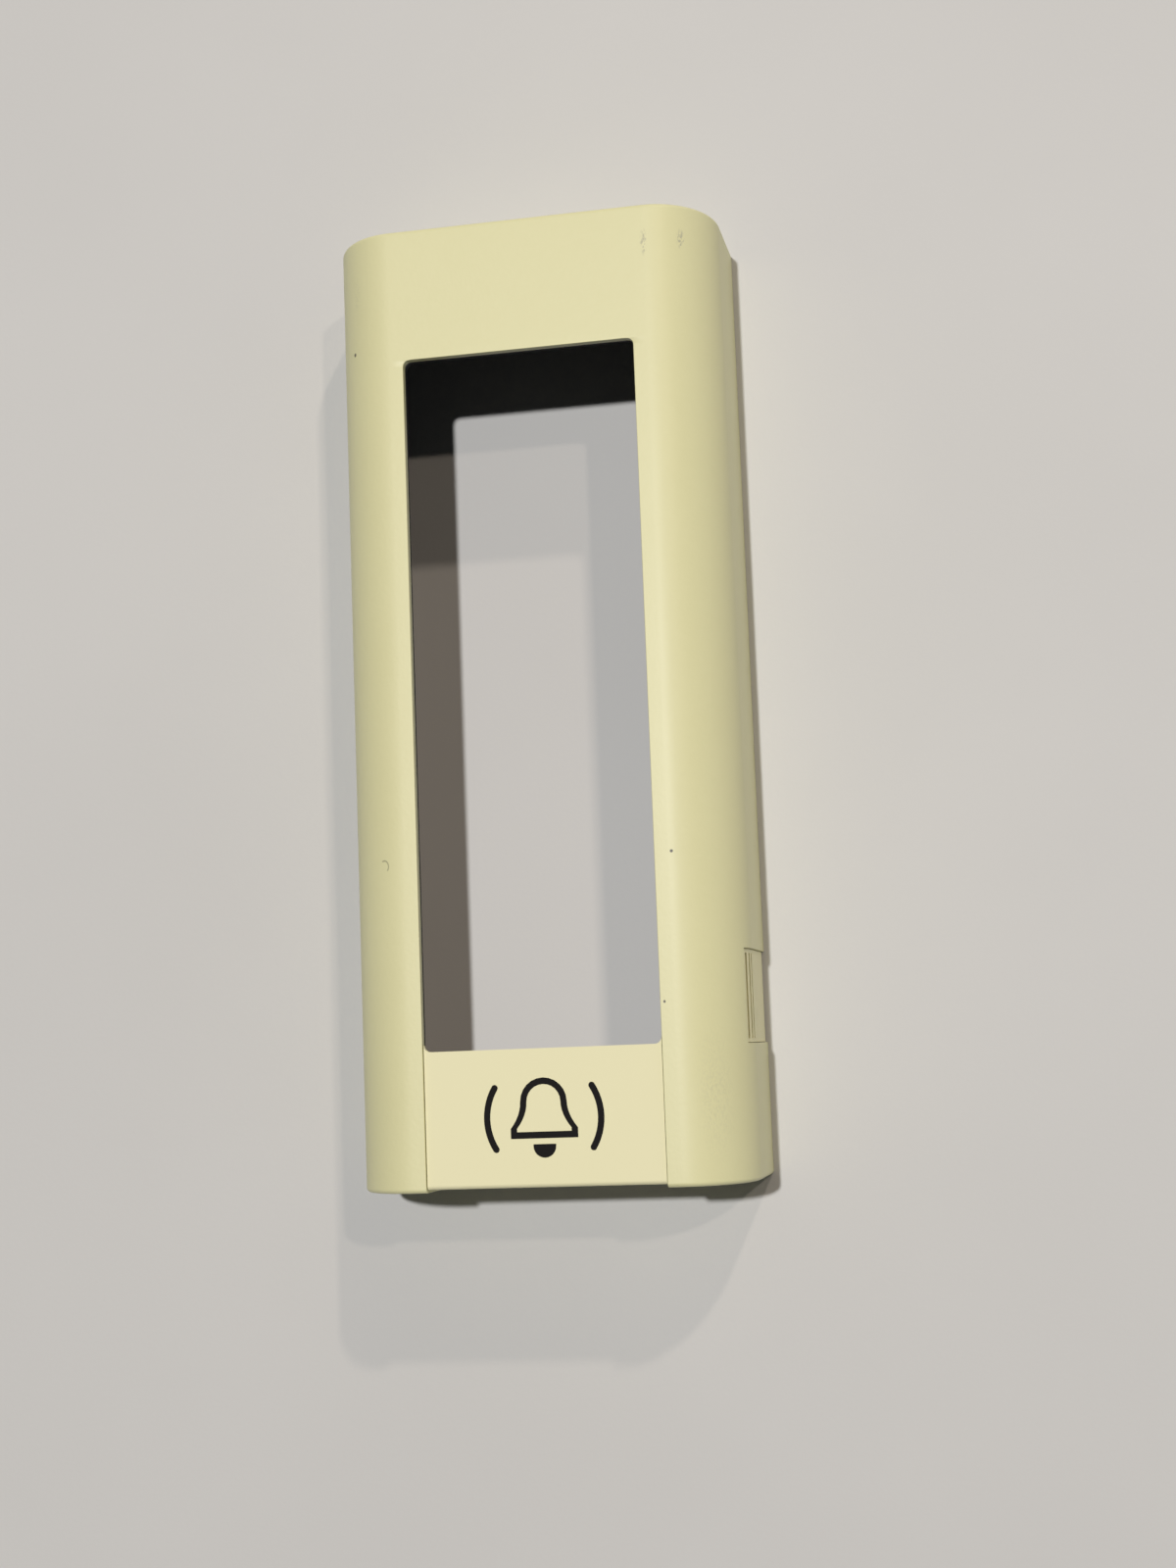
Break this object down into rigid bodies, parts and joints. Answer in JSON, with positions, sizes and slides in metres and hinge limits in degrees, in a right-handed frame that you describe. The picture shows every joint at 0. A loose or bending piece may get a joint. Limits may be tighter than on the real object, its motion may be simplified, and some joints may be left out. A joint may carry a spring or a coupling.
{
  "type": "video doorbell front cover",
  "caption": "Clip-on front cover of a slim video doorbell: ivory shell round a tall open window, sunk lower panel, side grille, snap arms and captive screw.",
  "frame": {"origin": "centre of the back plane, on which the rim rests", "axes": "+X across the cover to the grille's side, +Y up its length towards the upper end, +Z out of its face"},
  "size_m": [0.047, 0.1142, 0.0203],
  "materials": {
    "ivory_paint": "satin ivory paint over moulded plastic",
    "mark_ink": "black inlay, satin",
    "acoustic_cloth": "fine black woven mesh",
    "black_plastic": "fine spark-eroded texture, matt",
    "black_foam": "closed-cell foam",
    "screw_steel": "turned, bright",
    "nylon": "natural nylon"
  },
  "bodies": {
    "cover": {"front_shell": "ivory_paint", "lower_panel": "ivory_paint", "bell_mark_outline": "mark_ink", "bell_mark_clapper": "mark_ink", "bell_mark_wave_left": "mark_ink", "bell_mark_wave_right": "mark_ink", "speaker_grille": "ivory_paint", "grille_cloth": "acoustic_cloth", "inner_frame": "black_plastic", "window_seal": "black_foam"},
    "snap_arm_left_upper": {"snap_arm_left_upper": "black_plastic"},
    "snap_arm_left_lower": {"snap_arm_left_lower": "black_plastic"},
    "snap_arm_right_upper": {"snap_arm_right_upper": "black_plastic"},
    "snap_arm_right_lower": {"snap_arm_right_lower": "black_plastic"},
    "screw_retainer": {"screw_retainer": "nylon"},
    "security_screw": {"security_screw": "screw_steel"}
  },
  "joints": [
    {"name": "arm_flex_left_upper", "type": "hinge", "parent": "cover", "child": "snap_arm_left_upper", "pos_m": [-0.0208, 0.02415, 0.0105], "axis": [0, 1, 0], "range_deg": [0, 6.5], "stiffness_Nm_per_rad": 0.25},
    {"name": "arm_flex_left_lower", "type": "hinge", "parent": "cover", "child": "snap_arm_left_lower", "pos_m": [-0.0208, -0.02415, 0.0105], "axis": [0, 1, 0], "range_deg": [0, 6.5], "stiffness_Nm_per_rad": 0.25},
    {"name": "arm_flex_right_upper", "type": "hinge", "parent": "cover", "child": "snap_arm_right_upper", "pos_m": [0.0208, 0.02415, 0.0105], "axis": [0, -1, 0], "range_deg": [0, 6.5], "stiffness_Nm_per_rad": 0.25},
    {"name": "arm_flex_right_lower", "type": "hinge", "parent": "cover", "child": "snap_arm_right_lower", "pos_m": [0.0208, -0.02415, 0.0105], "axis": [0, -1, 0], "range_deg": [0, 6.5], "stiffness_Nm_per_rad": 0.25},
    {"name": "screw_advance", "type": "slide", "parent": "cover", "child": "screw_retainer", "axis": [0, -1, 0], "range_m": [0, 0.002]},
    {"name": "screw_turn", "type": "hinge", "parent": "screw_retainer", "child": "security_screw", "pos_m": [0, -0.0543, 0.008], "axis": [0, -1, 0], "range_deg": [0, 1440]}
  ],
  "couplings": [
    {"joint": "screw_turn", "follows": "screw_advance", "rad_per_m": 12566}
  ]
}
